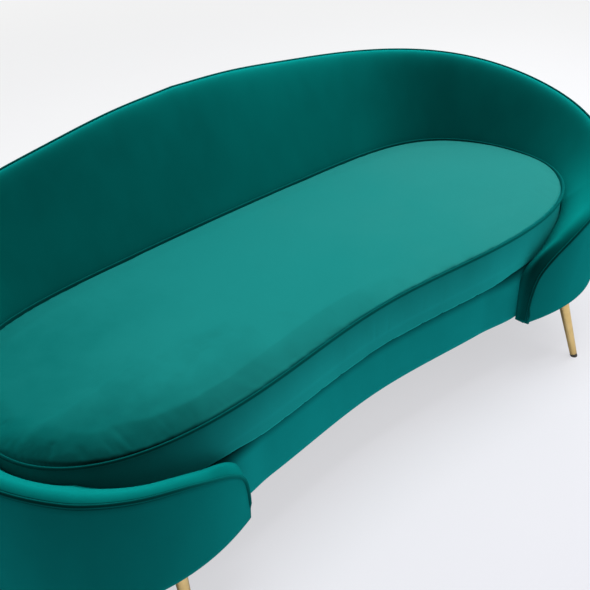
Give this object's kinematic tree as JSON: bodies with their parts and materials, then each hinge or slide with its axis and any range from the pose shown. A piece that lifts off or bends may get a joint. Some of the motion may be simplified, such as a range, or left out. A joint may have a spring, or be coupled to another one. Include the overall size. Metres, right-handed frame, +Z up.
{
  "type": "curved kidney-shaped sofa",
  "caption": "Kidney-shaped velvet sofa with a low shell wrapping the back and both ends, one loose crowned seat cushion and tapered metal legs.",
  "frame": {"origin": "on the floor, under the middle of the part's footprint", "axes": "+Z up, +X along the length to the sitter's left, +Y from the open front to the back; x = 0 is the plane of symmetry"},
  "size_m": [1.9554, 0.8588, 0.75],
  "materials": {
    "velvet": "short-pile velvet with a soft sheen at grazing angles",
    "piping": "velvet cut on the bias over a cord",
    "plywood": "raw plywood",
    "steel": "plain zinc-grey steel",
    "gold_metal": "satin gold plating",
    "glide": "dull dark plastic",
    "felt": "pale pressed felt",
    "black_cloth": "thin black non-woven cloth"
  },
  "bodies": {
    "sofa": {"seat_band": "velvet", "shell_padding_left": "velvet", "shell_padding_back": "velvet", "shell_padding_right": "velvet", "shell_outside_left": "velvet", "shell_outside_right": "velvet", "shell_welt": "piping", "base_board": "plywood", "seat_ring": "plywood", "front_rail": "plywood", "top_rail": "plywood", "back_rib_centre": "plywood", "back_rib_left_1": "plywood", "back_rib_left_2": "plywood", "back_rib_left_3": "plywood", "back_rib_left_4": "plywood", "back_rib_right_1": "plywood", "back_rib_right_2": "plywood", "back_rib_right_3": "plywood", "back_rib_right_4": "plywood", "seat_block_left_1": "plywood", "seat_block_left_2": "plywood", "seat_block_left_3": "plywood", "seat_block_right_1": "plywood", "seat_block_right_2": "plywood", "seat_block_right_3": "plywood", "seat_spring_1": "steel", "seat_spring_2": "steel", "seat_spring_3": "steel", "seat_spring_4": "steel", "seat_spring_5": "steel", "seat_spring_6": "steel", "spring_clip_front_1": "steel", "spring_clip_front_2": "steel", "spring_clip_front_3": "steel", "spring_clip_front_4": "steel", "spring_clip_front_5": "steel", "spring_clip_front_6": "steel", "spring_clip_back_1": "steel", "spring_clip_back_2": "steel", "spring_clip_back_3": "steel", "spring_clip_back_4": "steel", "spring_clip_back_5": "steel", "spring_clip_back_6": "steel", "leg_mount_front_left": "steel", "leg_mount_front_right": "steel", "leg_mount_back_left": "steel", "leg_mount_back_right": "steel", "leg_front_left": "gold_metal", "leg_front_right": "gold_metal", "leg_back_left": "gold_metal", "leg_back_right": "gold_metal", "glide_front_left": "glide", "glide_front_right": "glide", "glide_back_left": "glide", "glide_back_right": "glide", "deck_pad": "felt", "dust_cover": "black_cloth"},
    "cushion": {"seat_cushion": "velvet", "cushion_welt": "piping"}
  },
  "joints": [
    {"name": "cushion_lift", "type": "slide", "parent": "sofa", "child": "cushion", "axis": [0, 0, 1], "range_m": [0, 0.3]}
  ]
}
